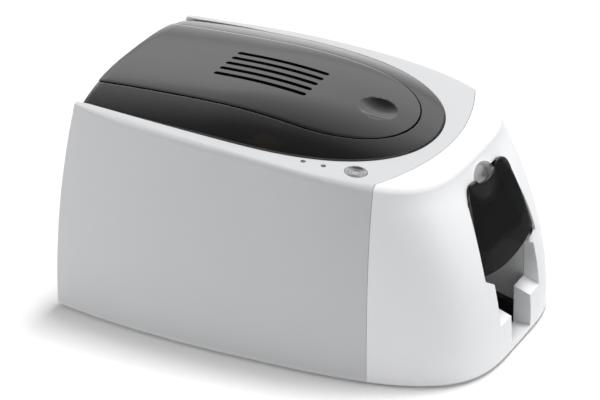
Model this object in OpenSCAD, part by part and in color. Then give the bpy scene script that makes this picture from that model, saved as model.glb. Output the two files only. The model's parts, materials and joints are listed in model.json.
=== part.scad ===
// Desktop card printer: egg-shaped housing, hinged smoked lid, front card feeder with a
// drop-down smoked door, output tray, and the roller, ribbon and print-head mechanism inside.
// X is the width, -Y the front, Z up. Heights are above the case's bottom edge; lift() adds
// the rubber feet, so z = 0 is the table.

/* [Case] */
// Length of the case, front to rear
case_len = 385; // [370:1:420]
// Width of the case at its widest, low on the sides
case_w = 250; // [236:1:270]
// Height of the roof at the rear
roof_h = 190.6; // [186:0.2:200]
// How far the roof falls from the rear to the nose
roof_drop = 31.8; // [24:0.2:36]
// How far each side leans in by roof height
side_draft = 8; // [4:0.5:10]
// How much narrower each side is at the rear
rear_taper = 17; // [12:0.5:20]
// How far the rear wall leans forward by roof height
rear_lean = 24; // [20:0.5:27]
// How far the nose leans back by roof height
nose_rake = 62.6; // [54:0.2:66]
// Height of the most forward point of the nose
nose_low = 13; // [8:1:18]
// Distance from the front to the widest place of the case
belly_from_front = 215.5; // [205:0.5:225]
// Squareness of the nose in plan, along the length
nose_square_y = 3.2; // [3:0.1:3.6]
// Squareness of the nose in plan, across the width
nose_square_x = 4.1; // [3.6:0.1:4.6]
// Radius of the rear upright corners
rear_corner_r = 5; // [3:0.5:8]
// Thickness of the case walls
wall = 2.5; // [2:0.1:3]
// Radius of the rounded shoulder between side and roof
shoulder_r = 7; // [5:0.5:9]
// Height of the rubber feet below the case
foot_h = 2.5; // [2:0.5:5]
// Thickness of the base pan
pan_t = 3; // [2.4:0.1:3.6]
// Distance from the front to the seam between fascia and rear housing
seam_from_front = 87.5; // [84:0.5:90]
// How far the seam bows forward on the roof
seam_bow = 21.5; // [19:0.5:23]
// Width of the seam line
seam_gap = 0.4; // [0.3:0.05:0.6]

/* [Lid] */
// Width of the lid at its widest
lid_w = 204; // [198:1:206]
// Width of the lid at its rear edge
lid_rear_w = 189; // [184:1:192]
// Distance from the front of the case to the lid's nose
lid_from_front = 80; // [78:0.5:84]
// Distance from the lid's nose to its widest place
lid_belly = 157.5; // [152:0.5:162]
// Height of the lid's crest above the roof's rear edge
lid_rise = 12.4; // [10:0.2:14.4]
// Distance from the lid's rear edge to the highest place of the crest
crest_from_rear = 105.6; // [95:0.2:115]
// How far the crest falls towards the rear edge
lid_tail_drop = 2.5; // [1.5:0.1:3.5]
// How far the lid's edge lies below the roof
lid_sink = 2.5; // [2:0.1:3]
// Thickness of the lid's shells
lid_t = 2.5; // [2:0.1:3]
// Gap round the lid
lid_gap = 0.8; // [0.6:0.05:1.2]
// Width of the raised centre panel
panel_w = 130; // [124:1:136]
// Distance from the lid's nose to the panel's nose
panel_nose = 19.5; // [17:0.5:22]
// How far the centre panel stands above the lid cover
panel_raise = 0.8; // [0.4:0.1:1.4]
// Groove between the centre panel and the lid cover
panel_gap = 0.5; // [0.3:0.1:0.8]
// Number of cooling slots in the centre panel
slot_count = 5; // [3:2:7]
// Width of one cooling slot
slot_w = 4.4; // [3:0.2:5]
// Length of the cooling slots
slot_len = 85; // [70:1:95]
// Distance between cooling slots
slot_pitch = 10.9; // [9:0.1:12]
// Distance from the lid's nose to the front end of the cooling slots
slot_from_nose = 107.5; // [100:0.5:112]
// Radius of the thumb dish in the centre panel
dish_r = 13.5; // [11:0.5:15]
// Depth of the thumb dish
dish_depth = 1.4; // [1:0.1:1.6]
// Distance from the lid's nose to the centre of the thumb dish
dish_from_nose = 52; // [48:0.5:56]
// Distance from the lid's rear edge to the hinge axis
hinge_in = 4.1; // [3.8:0.1:5]
// Height of the hinge axis below the roof's rear edge
hinge_below = 4.6; // [4:0.1:5.2]
// Radius of the lid's hinge pins
lid_pin_r = 2; // [1.5:0.1:2.4]
// Distance of the hinge brackets from the lid's rear corners
hinge_from_corner = 32.5; // [29:0.5:36]

/* [Controls] */
// Radius of the power button
button_r = 9.3; // [8:0.1:10]
// Travel of the power button
button_travel = 1.5; // [1:0.1:2]
// Distance of the button from the side of the case
button_from_side = 35.5; // [33:0.5:38]
// Distance from the front of the case to the button
button_from_front = 109; // [104:0.5:112]
// Radius of one status light
light_r = 2.1; // [1.5:0.1:2.5]
// Distance between the status lights along the case
light_pitch = 17; // [14:0.5:20]

/* [Feeder] */
// Width of the printed cards
card_w = 54; // [53:0.5:55]
// Length of the printed cards
card_len = 85.6; // [84:0.1:87]
// Height of the card path
path_z = 96; // [94:0.5:98]
// Side clearance of the cards in their guides
card_gap = 0.8; // [0.5:0.1:1.2]
// Half width of the feeder door at its lower edge
door_low = 51.4; // [50:0.2:52.4]
// Half width of the feeder door below its rounded corners
door_high = 39.5; // [37:0.5:41]
// Height of the door's lower corners
door_z0 = 81.5; // [80:0.5:83]
// Height of the door's upper edge
door_z1 = 150.6; // [149:0.2:152]
// How far the door's lower edge sags in the middle
door_sag = 6.3; // [5:0.1:7]
// How far the door's upper edge stands out of the nose
door_bulge = 5; // [4:0.1:5.5]
// How far the door's lower edge lies behind the nose
door_inset = 2.5; // [1.5:0.1:2.8]
// Radius of the door's upper corners across the width
door_corner = 11; // [8:0.5:13]
// Thickness of the feeder door
door_t = 2.2; // [1.8:0.1:2.6]
// Half width of the finger notch in the door's upper edge
notch_half = 20.5; // [17:0.5:22]
// Depth of the finger notch
notch_deep = 6; // [5:0.5:8]
// Radius of the door's hinge pins
door_pin_r = 1.6; // [1.2:0.1:1.8]
// Half width of the finger well behind the notch
well_half = 20; // [17:0.5:21]
// Half height of the finger well, along the nose
well_tall = 14.8; // [13:0.2:16]
// Depth of the finger well
well_deep = 7.6; // [6:0.2:8]
// Gap round the door
door_gap = 0.7; // [0.5:0.1:1]

/* [Output tray] */
// Half width of the tray opening between its side walls
bay_half = 41; // [39:0.5:42]
// Half width of the finger notch in the tray's front wall
bay_notch = 20; // [17:0.5:23]
// Height of the tray's front wall at its inner edge
bay_wall_in = 38.5; // [34:0.5:42]
// Height of the tray's front wall at its outer edge
bay_wall_out = 32; // [28:0.5:34]
// Thickness of the tray's front wall, front to rear
bay_wall_t = 16; // [12:0.5:18]
// Height of the tray's floor
bay_floor = 4; // [3.4:0.1:5]

/* [Mechanism] */
// Distance of the chassis plates from the middle
plate_x = 50; // [47:0.5:52]
// Thickness of the chassis plates
plate_t = 2; // [1.5:0.1:2.5]
// Distance from the front of the case to the print line
print_from_front = 172.5; // [170:0.5:175]
// Radius of the rubber rollers
roller_r = 7; // [6.5:0.1:7.4]
// Radius of the roller shafts
shaft_r = 3; // [2.4:0.1:3.2]
// Radial clearance of shafts and pins in their bearings
run_fit = 0.06; // [0.03:0.01:0.1]
// Gear module
gear_m = 1; // [1:0.05:1.1]
// Width of the gears
gear_w = 5; // [4:0.5:6]
// Teeth of a roller gear
roller_teeth = 24; // [24:4:28]
// Teeth of an idler gear
idler_teeth = 18; // [18:4:22]
// Teeth of the reduction gear
reduction_teeth = 36; // [36:4:40]
// Teeth of a motor pinion
pinion_teeth = 12; // [12:4:16]
// Teeth of the take-up gear
takeup_teeth = 30; // [30:4:34]
// Height of the ribbon spools above the card path
spool_up = 40; // [38:0.5:42]
// Radius of the ribbon spool flanges
spool_r = 17; // [15:0.5:18]
// Radius of the ribbon spool cores
core_r = 9; // [7:0.5:10]
// Distance from the print line forward to the take-up spool
takeup_from_print = 41; // [40:0.5:42]
// Distance from the print line back to the supply spool
supply_from_print = 60; // [56:0.5:66]
// Size of the drive motor's square body
motor_s = 35; // [32:0.5:38]
// Length of the drive motor
motor_l = 26; // [20:1:30]

/* [Hidden] */
$fn = 48;

front_y = -case_len / 2;
belly_y = front_y + belly_from_front;
seam_y = front_y + seam_from_front;
seam_half = 99;
nose_steps = 18;
levels = 6;
far = 400;
eps = 0.01;

// ---------------------------------------------------------------- case surface
// Roof height at a place along the length: one long arc, level at the rear.
function roof_z(y) = roof_h - roof_drop * pow((case_len / 2 - y) / case_len, 2);
function half_w(z) = case_w / 2 - side_draft * pow(max(z, 0) / roof_h, 1.6);
function rear_y(z) = case_len / 2 - rear_lean * pow(z / roof_h, 2);
function nose_y(z) = front_y + nose_rake * pow((z - nose_low) / (roof_h - nose_low), 2);

// Half an egg from its rear end round to the tip of its nose: half width w, narrower by
// taper at the rear end y1, widest at y0, nose tip at y2.
function half_egg(w, taper, y1, y0, y2, sq_x, sq_y) = concat(
  [for (f = [1, 0.75, 0.5, 0.25]) [w - taper * f * f, y0 + f * (y1 - y0)]],
  [for (i = [0:nose_steps - 1]) let (a = 90 * (1 - pow(1 - i / nose_steps, 1.8)))
    [w * pow(cos(a), 2 / sq_x), y0 - (y0 - y2) * pow(sin(a), 2 / sq_y)]],
  [[0, y2]]);
function both_sides(h) = concat(h, [for (i = [len(h) - 2:-1:0]) [-h[i][0], h[i][1]]]);
function rest_of(list) = [for (i = [1:len(list) - 1]) list[i]];

// Plan outline of the case at height z, drawn in by t, with rounded rear corners.
function case_half(z, t) = let (w = half_w(z) - t, y1 = rear_y(z) - t, r = rear_corner_r)
  concat([for (a = [0:30:90]) [w - rear_taper - r + r * sin(a), y1 - r + r * cos(a)]],
    rest_of(half_egg(w, rear_taper, y1, belly_y, nose_y(z) + t, nose_square_x, nose_square_y)));
function case_plan(z, t) = both_sides(case_half(z, t));

lid_crest = roof_h + lid_rise;
hinge_x = lid_rear_w / 2 - hinge_from_corner;
// Plan outline of the lid opening, with one point for each point of the case outline.
lid_nose_y = front_y + lid_from_front;
lid_rear_y = rear_y(roof_h) - wall - 0.4;
lid_belly_y = lid_nose_y + lid_belly;
lid_square_x = 2.05;
lid_square_y = 2.7;
lid_taper = (lid_w - lid_rear_w) / 2;
lid_corner = 1.5;
function lid_half(t) = let (h = half_egg(lid_w / 2 - t, lid_taper, lid_rear_y - t,
  lid_belly_y, lid_nose_y + t, lid_square_x, lid_square_y))
  concat([[h[0][0] - lid_corner, h[0][1]], [h[0][0], h[0][1] - lid_corner]], rest_of(h));
function opening_half() = let (h = lid_half(-lid_gap))
  concat([for (k = [2, 1]) [h[0][0] - k * 2, h[0][1]]], h);
function opening_plan() = both_sides(opening_half());

// One ring of the wall: a share f of the local roof height less d, drawn in by t.
function wall_ring(f, d, t) = let (guess = case_plan(roof_h * 0.9, t))
  [for (i = [0:len(guess) - 1])
    let (z1 = f * (roof_z(guess[i][1]) - d), z2 = f * (roof_z(case_plan(z1, t)[i][1]) - d),
      p = case_plan(z2, t)[i]) [p[0], p[1], z2]];

// Rings of the shoulder: from the top of a wall ring round to the edge of the lid opening.
function toward(p, q, d) = let (v = [q[0] - p[0], q[1] - p[1]], n = norm(v))
  [p[0] + v[0] * d / n, p[1] + v[1] * d / n];
function shoulder(rim, edge, r, drop, a) = [for (i = [0:len(rim) - 1])
  let (n = norm([edge[i][0] - rim[i][0], edge[i][1] - rim[i][1]]), rr = min(r, n * 0.6),
    p = toward(rim[i], edge[i], rr * (1 - cos(a))))
  [p[0], p[1], roof_z(p[1]) - drop - rr + rr * sin(a)]];
function flat_ring(plan, drop) = [for (p = plan) [p[0], p[1], roof_z(p[1]) - drop]];

outer_rings = let (rim = wall_ring(1, shoulder_r, 0), edge = opening_plan()) concat(
  [for (k = [0:levels - 1]) wall_ring(k / levels, shoulder_r, 0)],
  [for (a = [0:15:90]) shoulder(rim, edge, shoulder_r, 0, a)], [flat_ring(edge, 0)]);
inner_rings = let (rim = wall_ring(1, shoulder_r, wall), edge = opening_plan()) concat(
  [for (k = [0:levels - 1]) wall_ring(k / levels, shoulder_r, wall)],
  [for (a = [0:30:90]) shoulder(rim, edge, shoulder_r - wall, wall, a)],
  [flat_ring(edge, wall)]);

// ---------------------------------------------------------------- lid surface
crest_y = lid_rear_y - crest_from_rear;
nose_fall = lid_crest - (roof_z(lid_nose_y) - lid_sink);
function crest_slope(y) = 2 * nose_fall * (crest_y - y) / pow(crest_y - lid_nose_y, 2);
function crest_z(y) = y > crest_y
  ? lid_crest - lid_tail_drop * pow((y - crest_y) / crest_from_rear, 2)
  : lid_crest - nose_fall * pow((crest_y - y) / (crest_y - lid_nose_y), 2);
function lid_half_at(y) = y > lid_belly_y
  ? lid_w / 2 - lid_taper * pow((y - lid_belly_y) / (lid_rear_y - lid_belly_y), 2)
  : lid_w / 2 * pow(max(0.0001, 1 - pow(min(1, (lid_belly_y - y) / lid_belly), lid_square_y)),
    1 / lid_square_x);
// Arch across the lid: flat on the crest, steep at the edge.
function lid_z(x, y) = let (e = roof_z(y) - lid_sink, c = crest_z(y))
  c - (c - e) * pow(min(1, abs(x) / lid_half_at(y)), 2.45);

panel_half_w = panel_w / 2;
panel_belly_y = lid_nose_y + 103;
panel_nose_y = lid_nose_y + panel_nose;
function panel_half(t) = let (h = half_egg(panel_half_w - t, 0, lid_rear_y, panel_belly_y,
  panel_nose_y + t, 2.1, 2.3))
  concat([h[0], [h[0][0], h[0][1] - lid_corner]], rest_of(h));

// ---------------------------------------------------------------- frame of reference
module lift() translate([0, 0, foot_h]) children();
// Draws a YZ outline and extrudes it along X from x0.
module along_x(x0, length) translate([x0, 0, 0]) rotate([90, 0, 90])
  linear_extrude(length) children();
// Draws an XZ outline and extrudes it along +Y from y0.
module along_y(y0, length) translate([0, y0 + length, 0]) rotate([90, 0, 0])
  linear_extrude(length) children();
module rod(x0, x1, y, z, r) along_x(x0, x1 - x0) translate([y, z]) circle(r);

// A closed skin through rings of equal count, capped by flat fans.
module capped(rings) {
  n = len(rings[0]);
  m = len(rings);
  h = (n - 1) / 2;
  top = (m - 1) * n;
  polyhedron([for (r = rings) for (p = r) p], concat(
    [for (i = [1:n - 2]) [h, (h + i + 1) % n, (h + i) % n]],
    [for (i = [1:n - 2]) [top + h, top + (h + i) % n, top + (h + i + 1) % n]],
    [for (j = [0:m - 2]) for (i = [0:n - 1]) let (a = j * n + i, b = j * n + (i + 1) % n)
      each [[a, b + n, a + n], [a, b, b + n]]]));
}
// A closed skin whose last ring joins its first.
module looped(rings) {
  n = len(rings[0]);
  m = len(rings);
  polyhedron([for (r = rings) for (p = r) p],
    [for (j = [0:m - 1]) for (i = [0:n - 1])
      let (a = j * n + i, b = j * n + (i + 1) % n, c = (j + 1) % m * n)
      each [[a, c + (i + 1) % n, c + i], [a, b, c + (i + 1) % n]]]);
}
// A shell through sections, each a top row and a bottom row of points, closed at both ends.
module shell_of(tops, bottoms) {
  k = len(tops[0]);
  m = len(tops);
  n = 2 * k;
  polyhedron([for (j = [0:m - 1]) each concat(tops[j], [for (i = [k - 1:-1:0]) bottoms[j][i]])],
    concat(
      [for (i = [0:k - 2]) each [[i, i + 1, n - 2 - i], [i, n - 2 - i, n - 1 - i]]],
      [for (i = [0:k - 2]) let (o = (m - 1) * n)
        each [[o + i, o + n - 2 - i, o + i + 1], [o + i, o + n - 1 - i, o + n - 2 - i]]],
      [for (j = [0:m - 2]) for (i = [0:n - 1]) let (a = j * n + i, b = j * n + (i + 1) % n)
        each [[a, a + n, b + n], [a, b + n, b]]]));
}

// ---------------------------------------------------------------- housing
// Everything behind the seam; the seam bows forward where it crosses the roof.
module seam_outline(gap) polygon(concat(
  [for (i = [-10:10]) let (x = i * seam_half / 10)
    [x, seam_y + gap - seam_bow * (1 - pow(x / seam_half, 2))]],
  [[case_w, seam_y + gap], [case_w, case_len], [-case_w, case_len], [-case_w, seam_y + gap]]));
module behind_seam(z0, gap) translate([0, 0, z0]) linear_extrude(far) seam_outline(gap);

// Puts its children on the roof at y, square to it.
function deck_slope(y) = 2 * roof_drop * (case_len / 2 - y) / pow(case_len, 2);
module on_deck(y) translate([0, y, roof_z(y)]) rotate([atan(deck_slope(y)), 0, 0]) children();

button_y = front_y + button_from_front;
button_x = case_w / 2 - button_from_side;
light_x = button_x + 6.5;
light_y = button_y + 26;
rear_top = roof_h - hinge_below - 4.5;
inlet_x = -42;
usb_x = -14;
port_z = 18;
module rear_housing() color("whitesmoke") lift() difference() {
  intersection() {
    looped(concat(outer_rings, [for (j = [len(inner_rings) - 1:-1:0]) inner_rings[j]]));
    behind_seam(pan_t, 0);
  }
  translate([-lid_rear_w / 2 - 1.9, lid_rear_y - 6.1, rear_top])
    cube([lid_rear_w + 3.8, 40, 60]);
  on_deck(button_y) translate([-button_x, 0, -9]) cylinder(r = button_r + 0.3, h = 20);
  for (k = [0, 1]) translate([-light_x - 2.5 * k, light_y + light_pitch * k, path_z])
    cylinder(r = light_r + 0.15, h = far);
  translate([inlet_x, 150, port_z]) rotate([-90, 0, 0]) cylinder(r = 5.5, h = 60);
  translate([usb_x - 7, 150, port_z - 6.5]) cube([14, 60, 13]);
}

// Nose of the case at a place across the width and a height.
function nose_at(x, z) = belly_y - (belly_y - nose_y(z))
  * pow(1 - pow(abs(x) / half_w(z), nose_square_x), 1 / nose_square_y);
// Feeder door: half width by height, upper edge and lower edge across the width.
door_rise = 15;
function door_half(z) = let (f = min(1, (z - door_z0) / (door_z1 - door_rise - door_z0)))
  door_low + (door_high - door_low) * (0.75 * f + 0.25 * f * f);
function door_top(x) = let (a = abs(x), c = door_high - door_corner)
  a < notch_half ? door_z1 - notch_deep * sqrt(1 - pow(a / notch_half, 2))
  : a < c ? door_z1
  : door_z1 - door_rise * (1 - sqrt(max(0, 1 - pow((a - c) / door_corner, 2))));
function door_foot(f) = door_z0 - door_sag * (1 - f * f);
function door_side(g) = concat(
  [for (z = [door_z0:(door_z1 - door_rise - door_z0) / 4:door_z1 - door_rise + 0.1])
    [door_half(z) + g, z]],
  [for (t = [22.5:22.5:90]) [door_high - door_corner + (door_corner + g) * cos(t),
    door_z1 - door_rise + (door_rise + g) * sin(t)]]);
pin_y = nose_y(door_z0) + 10.5;
pin_z = door_z0 + 1;
well_z = door_z1 - 9.1;
well_lean = 28.5;
stack_top = door_z1 - 14.1;
// Oval plug square to the nose, between two depths measured out from its surface.
module finger_well(grow, low, high, taper = 0)
  translate([0, nose_y(well_z), well_z]) rotate([90 - well_lean, 0, 0])
    translate([0, 0, low]) scale([well_half + grow, well_tall + grow, 1])
      cylinder(r1 = 1 - taper, r2 = 1, h = high - low, $fn = 40);
// Space above the highest card in the hopper, where the well's cup may reach in.
module over_stack(gap) translate([-well_half - 5, front_y, stack_top + gap])
  cube([2 * well_half + 10, 90, 60]);
bay_ledge = door_z0 - 5;
jamb_t = 3;
module fascia_keep() {
  translate([-bay_half - jamb_t, front_y - 20, -eps])
    cube([2 * (bay_half + jamb_t), 20 + bay_wall_t, bay_wall_in]);
  for (s = [-1, 1]) {
    translate([s > 0 ? bay_half : -bay_half - jamb_t, front_y - 20, 0])
      cube([jamb_t, 20 + bay_wall_t, bay_ledge]);
    translate([s > 0 ? bay_half : -door_low - 3, front_y - 20, bay_ledge - 6.5])
      cube([door_low + 3 - bay_half, 20 + bay_wall_t, 3.5]);
  }
  intersection() {
    finger_well(2.5, -well_deep - 1.9, 9.5);
    over_stack(0);
  }
}
module front_opening() {
  difference() {
    along_y(front_y - 30, 30 + nose_y(door_z1) - front_y + wall + 4) {
      polygon(concat(door_side(door_gap),
        [for (i = [len(door_side(0)) - 1:-1:0]) let (p = door_side(door_gap)[i]) [-p[0], p[1]]],
        [[-door_low - 0.7, bay_ledge + 1], [-bay_half, bay_ledge - 6]],
        [[-bay_half, bay_wall_in + 2], [bay_half, bay_wall_in + 2]],
        [[bay_half, bay_ledge - 6], [door_low + 0.7, bay_ledge + 1]]));
      translate([-bay_notch, bay_floor]) square([2 * bay_notch, bay_wall_in]);
    }
    intersection() {
      finger_well(2.4, -well_deep - 1.8, -2.6);
      over_stack(0.1);
    }
  }
  along_x(-bay_half, 2 * bay_half) polygon([[front_y - 10, bay_wall_out - 4],
    [front_y + bay_wall_t + 1, bay_wall_in], [front_y + bay_wall_t + 1, bay_wall_in + 4],
    [front_y - 10, bay_wall_in + 4]]);
  finger_well(0, -well_deep, 9.5, 0.12);
}
module front_fascia() color("white") lift() difference() {
  capped(concat(outer_rings, [[for (p = opening_plan()) [p[0], p[1], path_z]]]));
  difference() {
    capped(concat([[for (p = inner_rings[0]) [p[0], p[1], -1]]], inner_rings,
      [[for (p = both_sides(opening_half())) [p[0] * 0.98, p[1] * 0.98, path_z - 5]]]));
    fascia_keep();
  }
  behind_seam(-10, -seam_gap);
  front_opening();
}

feet_x = 84;
feet_rear_y = 150;
feet_front_y = front_y + 70;
stem_r = 3.3;
module feet_places() for (s = [-1, 1], y = [feet_rear_y, feet_front_y])
  translate([s * feet_x, y, 0]) children();
board_x = -62;
board_w = 112;
board_l = 96;
board_y = case_len / 2 - 10.5 - board_l;
board_z = pan_t + 6;
module base_pan() color("gainsboro") lift() {
  difference() {
    linear_extrude(pan_t) difference() {
      union() {
        intersection() {
          polygon(case_plan(pan_t, 0));
          seam_outline(0);
        }
        polygon(case_plan(pan_t, wall + 0.4));
      }
      translate([-bay_half - jamb_t - 0.4, front_y - 10])
        square([2 * (bay_half + jamb_t + 0.4), 10.4 + bay_wall_t]);
    }
    feet_places() translate([0, 0, -1]) cylinder(r = stem_r + 0.1, h = 9);
    for (i = [-4:4]) translate([i * 12 - 2, 20, -1]) cube([4, 45, 10]);
  }
  translate([0, 0, pan_t]) linear_extrude(7) difference() {
    polygon(case_plan(20, wall + 1.8));
    polygon(case_plan(20, wall + 3.8));
    translate([-far, -2 * far]) square([2 * far, 2 * far + seam_y + 6]);
    translate([inlet_x - 12, 160]) square([50, 60]);
  }
  for (x = [board_x + 6, board_x + board_w - 6], y = [board_y + 6, board_y + board_l - 10])
    translate([x, y, pan_t]) cylinder(r = 3, h = board_z - pan_t);
}
module rubber_feet() color("dimgray") lift() feet_places() {
  translate([0, 0, -foot_h]) cylinder(r1 = 8.2, r2 = 9, h = foot_h);
  cylinder(r = stem_r, h = pan_t);
}

// ---------------------------------------------------------------- chassis
print_y = front_y + print_from_front;
axis_z = path_z - roller_r - 0.2;
gear_x = plate_x + plate_t + 1;
roller_gear_r = gear_m * roller_teeth / 2;
idler_r = gear_m * idler_teeth / 2;
roller_step = 2 * (roller_gear_r + idler_r);
front_roll_y = print_y - roller_step;
feed_y = print_y - 2 * roller_step;
rear_roll_y = print_y + roller_step;
reduction_z = axis_z - gear_m * (roller_teeth + reduction_teeth) / 2;
motor_y = print_y + gear_m * (reduction_teeth + pinion_teeth) / 2;
spool_z = path_z + spool_up;
takeup_y = print_y - takeup_from_print;
supply_y = print_y + supply_from_print;
ribbon_motor_y = takeup_y + gear_m * (takeup_teeth + pinion_teeth) / 2;
bush_r = shaft_r + 2;
axle_r = 4;
plate_y0 = feed_y - 10;
plate_y1 = supply_y + 34;
plate_top = spool_z + spool_r + 3;
pinch_r = 5;
pinch_z = path_z + 0.9 + pinch_r;
clean_y = print_y - 24;
drive_ys = [feed_y, front_roll_y, print_y, rear_roll_y];
idler_ys = [for (k = [0:2]) feed_y + (k + 0.5) * roller_step];
nip_places = [[front_roll_y, pinch_z], [rear_roll_y, pinch_z], [clean_y, pinch_z]];

module plate_profile() difference() {
  polygon([[plate_y0, pan_t], [plate_y0, path_z + 8], [takeup_y - spool_r - 2, plate_top],
    [plate_y1 - 12, plate_top], [plate_y1, path_z], [plate_y1, pan_t]]);
  for (y = drive_ys) translate([y, axis_z]) circle(bush_r + 0.05);
  for (p = nip_places) translate(p) circle(2 + run_fit);
  for (y = [takeup_y, supply_y]) translate([y, spool_z]) {
    circle(axle_r + run_fit);
    translate([-axle_r - run_fit, 0]) square([2 * (axle_r + run_fit), 60]);
  }
}
module plate_foot(x) translate([x, plate_y0, pan_t]) cube([10, plate_y1 - plate_y0, plate_t]);
module chassis_plate_left() color("silver") lift() {
  along_x(-plate_x - plate_t, plate_t) plate_profile();
  plate_foot(-plate_x - plate_t - 10);
}
module chassis_plate_right() color("silver") lift() {
  along_x(plate_x, plate_t) difference() {
    plate_profile();
    translate([motor_y, reduction_z]) circle(8);
  }
  plate_foot(plate_x + plate_t);
}
module tie_bars() color("lightgray") lift()
  for (p = [[front_roll_y, 20], [plate_y1 - 8, 20], [plate_y1 - 8, path_z - 18]])
    rod(-plate_x, plate_x, p[0], p[1], 3);
module ring(x, w, y, z, r_out, r_in) along_x(x, w) translate([y, z]) difference() {
  circle(r_out);
  circle(r_in);
}
module shaft_bushes() color("khaki") lift() for (y = drive_ys, s = [-1, 1])
  ring(s > 0 ? plate_x - 0.6 : -plate_x - plate_t, plate_t + 0.6, y, axis_z, bush_r,
    shaft_r + run_fit);
stud_r = 2;
module gear_studs() color("silver") lift() {
  for (y = idler_ys) rod(gear_x - 1, gear_x + gear_w + 1, y, axis_z, stud_r);
  rod(gear_x - 1, gear_x + gear_w + 1, print_y, reduction_z, stud_r);
}

// ---------------------------------------------------------------- card path
guide_half = card_w / 2 + card_gap;
track_t = 2;
track_z = path_z - 1 - track_t;
hopper_back = feed_y + 18;
hopper_front = hopper_back - 2 - card_len - 0.6;
module windows(ys) for (y = ys) translate([-card_w / 2, y - roller_r - 1, track_z - 1])
  cube([card_w, 2 * roller_r + 2, track_t + 2]);
module card_hopper() color("dimgray") lift() {
  difference() {
    translate([-guide_half - 2, hopper_front, track_z])
      cube([2 * guide_half + 4, hopper_back - hopper_front, track_t]);
    windows([feed_y]);
  }
  for (s = [-1, 1]) along_x(s > 0 ? guide_half : -guide_half - 2, 2) polygon([
    [hopper_front, track_z + track_t], [nose_y(door_z1 - 4) + 2.1, door_z1 - 4],
    [hopper_back, door_z1 - 4], [hopper_back, track_z + track_t]]);
  translate([-guide_half, hopper_back - 2, path_z + 4])
    cube([2 * guide_half, 2, door_z1 - 8 - path_z]);
  for (s = [-1, 1]) translate([s > 0 ? guide_half + 2 : -plate_x, feed_y + 8, path_z - 2])
    cube([plate_x - guide_half - 2, 6, 14]);
}
module card_track() color("dimgray") lift() {
  y0 = hopper_back + 0.4;
  y1 = rear_roll_y + card_len - 4;
  difference() {
    union() {
      translate([-guide_half - 2, y0, track_z]) cube([2 * guide_half + 4, y1 - y0, track_t]);
      for (s = [-1, 1]) translate([s > 0 ? guide_half : -guide_half - 2, y0, track_z + track_t])
        cube([2, y1 - y0, 2.4]);
    }
    windows([front_roll_y, print_y, rear_roll_y]);
    for (p = nip_places) translate([-far, p[0] - 4, path_z]) cube([2 * far, 8, 20]);
  }
  for (s = [-1, 1], y = [front_roll_y + 14, rear_roll_y + 26])
    translate([s > 0 ? guide_half + 2 : -plate_x, y, track_z])
      cube([plate_x - guide_half - 2, 8, track_t]);
}
slider_x = guide_half + 5;
slider_travel = 6;
module thickness_slider() color("steelblue") lift() {
  translate([slider_x, hopper_back + 0.3, path_z + 8]) cube([3, 3, 20]);
  translate([-6, hopper_back + 0.3, path_z + 8]) cube([slider_x + 6, 3, 4]);
}

bin_back = front_y + 96;
bin_front = front_y + bay_wall_t + 0.4;
tray_rise = 0.3;
tray_side = bay_floor + 6;
function tray_edge(y) = tray_side + tray_rise * (y - bin_front);
module output_bin() color("gainsboro") lift() {
  for (s = [-1, 1]) translate([s > 0 ? bay_half : -bay_half - 2.5, bin_front, pan_t])
    cube([2.5, bin_back - bin_front, bay_ledge - 8 - pan_t]);
  translate([-bay_half - eps, bin_back - 2.5, tray_edge(bin_back) + 1])
    cube([2 * bay_half + 2 * eps, 2.5, bay_ledge - 9 - tray_edge(bin_back)]);
}
module output_tray() color("black") lift() {
  translate([-bay_half + 0.3, bin_front, pan_t])
    cube([2 * bay_half - 0.6, bin_back - bin_front - 3, bay_floor + 1 - pan_t]);
  for (s = [-1, 1]) along_x(s > 0 ? bay_half - 6.3 : -bay_half + 0.3, 6) polygon([
    [bin_front, bay_floor], [bin_front, tray_side], [bin_back - 3, tray_edge(bin_back - 3)],
    [bin_back - 3, bay_floor]]);
}

// ---------------------------------------------------------------- rollers and gears
// Trapezoid teeth with a backlash that lets every pair turn freely.
module gear_profile(teeth, phase, bore) difference() {
  p = 360 / teeth;
  r = gear_m * teeth / 2;
  polygon([for (i = [0:teeth - 1]) each [for (c = [[-0.3, -1.2], [-0.1, 0.8], [0.1, 0.8],
    [0.3, -1.2]]) (r + c[1] * gear_m) * [cos(p * (i + c[0]) + phase),
    sin(p * (i + c[0]) + phase)]]]);
  circle(bore);
}
module gear(x, y, z, teeth, phase, bore) along_x(x, gear_w) translate([y, z])
  gear_profile(teeth, phase, bore);
roller_half = card_w / 2 - 1;
module rubber(y, r) ring(-roller_half, 2 * roller_half, y, axis_z, r, shaft_r);
module roller_shaft(y) rod(-plate_x - plate_t - 2, gear_x + gear_w, y, axis_z, shaft_r);
module roller_gear(y) gear(gear_x, y, axis_z, roller_teeth, 0, shaft_r);
module idler(k) gear(gear_x, idler_ys[k], axis_z, idler_teeth, 180 / idler_teeth,
  stud_r + run_fit);

module feed_roller() color("dimgray") lift() rubber(feed_y, roller_r);
module feed_shaft() color("silver") lift() roller_shaft(feed_y);
module feed_gear() color("ivory") lift() roller_gear(feed_y);
module front_roller() color("dimgray") lift() rubber(front_roll_y, roller_r);
module front_shaft() color("silver") lift() roller_shaft(front_roll_y);
module front_gear() color("ivory") lift() roller_gear(front_roll_y);
module platen_roller() color("dimgray") lift() rubber(print_y, roller_r);
module platen_shaft() color("silver") lift() roller_shaft(print_y);
module platen_gear() color("ivory") lift() roller_gear(print_y);
module rear_roller() color("dimgray") lift() rubber(rear_roll_y, roller_r);
module rear_shaft() color("silver") lift() roller_shaft(rear_roll_y);
module rear_gear() color("ivory") lift() roller_gear(rear_roll_y);
module idler_gear_a() color("ivory") lift() idler(0);
module idler_gear_b() color("ivory") lift() idler(1);
module idler_gear_c() color("ivory") lift() idler(2);
module reduction_gear() color("ivory") lift() gear(gear_x, print_y, reduction_z,
  reduction_teeth, 180 / reduction_teeth, stud_r + run_fit);
motor_shaft_r = 1.5;
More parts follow.
